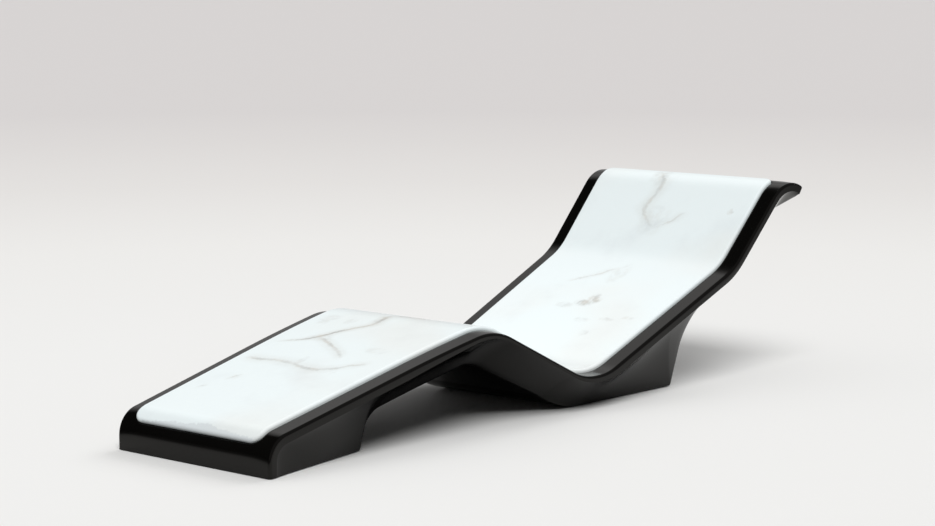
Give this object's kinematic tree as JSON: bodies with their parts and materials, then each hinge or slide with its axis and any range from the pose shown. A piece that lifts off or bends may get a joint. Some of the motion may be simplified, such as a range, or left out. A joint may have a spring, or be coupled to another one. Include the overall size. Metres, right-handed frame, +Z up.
{
  "type": "spa relaxation lounger",
  "caption": "Low S-shaped heated relaxation lounger: a gloss moulded body with a foot block, an open arch and a pedestal, carrying one long stone slab, on levelling feet.",
  "frame": {"origin": "centre of the bounding box on the floor, between the foot end and the head end", "axes": "+X from the foot end to the head end, +Y across the body to the left of someone lying on it, +Z up"},
  "size_m": [2.0247, 0.6826, 0.5443],
  "materials": {
    "marble": "polished white marble with grey-beige veins",
    "seal": "matt silicone joint",
    "body": "high gloss black gelcoat",
    "mat": "silicone heating mat",
    "insulation": "closed cell insulation board",
    "plywood": "bonded plywood",
    "plate": "mill finish sheet",
    "screw": "stainless",
    "brass": "turned brass",
    "foot": "moulded pad on a threaded stem",
    "housing": "moulded enclosure",
    "transformer": "potted block",
    "terminal": "moulded terminal strip",
    "board": "circuit board",
    "gland": "moulded gland",
    "loom": "silicone sheathed lead"
  },
  "bodies": {
    "body": {"marble_slab": "marble", "slab_seal": "seal", "heating_mat_calf": "mat", "heating_mat_seat": "mat", "heating_mat_back": "mat", "insulation_calf": "insulation", "insulation_seat": "insulation", "insulation_back": "insulation", "top_shell": "body", "under_shell": "body", "rail_left": "plywood", "rail_right": "plywood", "rib_foot_front": "plywood", "rib_foot_rear": "plywood", "rib_pedestal_front": "plywood", "rib_pedestal_rear": "plywood", "foot_base_plate": "plate", "pedestal_base_plate": "plate", "foot_plate_screws": "screw", "pedestal_plate_screws": "screw", "foot_bushes": "brass", "pedestal_bushes": "brass", "control_box": "housing", "control_box_lid": "housing", "control_box_screws": "screw", "transformer": "transformer", "terminal_block": "terminal", "controller_board": "board", "cable_gland": "gland", "gland_nut": "gland", "heater_loom_calf": "loom", "heater_loom_back": "loom", "slab_sensor": "screw"},
    "foot_front_left": {"foot_front_left": "foot"},
    "foot_front_right": {"foot_front_right": "foot"},
    "foot_mid_left": {"foot_mid_left": "foot"},
    "foot_mid_right": {"foot_mid_right": "foot"},
    "foot_rear_left": {"foot_rear_left": "foot"},
    "foot_rear_right": {"foot_rear_right": "foot"}
  },
  "joints": [
    {"name": "foot_front_left_wind", "type": "slide", "parent": "body", "child": "foot_front_left", "axis": [0, 0, -1], "range_m": [0, 0.012]},
    {"name": "foot_front_right_wind", "type": "slide", "parent": "body", "child": "foot_front_right", "axis": [0, 0, -1], "range_m": [0, 0.012]},
    {"name": "foot_mid_left_wind", "type": "slide", "parent": "body", "child": "foot_mid_left", "axis": [0, 0, -1], "range_m": [0, 0.012]},
    {"name": "foot_mid_right_wind", "type": "slide", "parent": "body", "child": "foot_mid_right", "axis": [0, 0, -1], "range_m": [0, 0.012]},
    {"name": "foot_rear_left_wind", "type": "slide", "parent": "body", "child": "foot_rear_left", "axis": [0, 0, -1], "range_m": [0, 0.012]},
    {"name": "foot_rear_right_wind", "type": "slide", "parent": "body", "child": "foot_rear_right", "axis": [0, 0, -1], "range_m": [0, 0.012]}
  ]
}
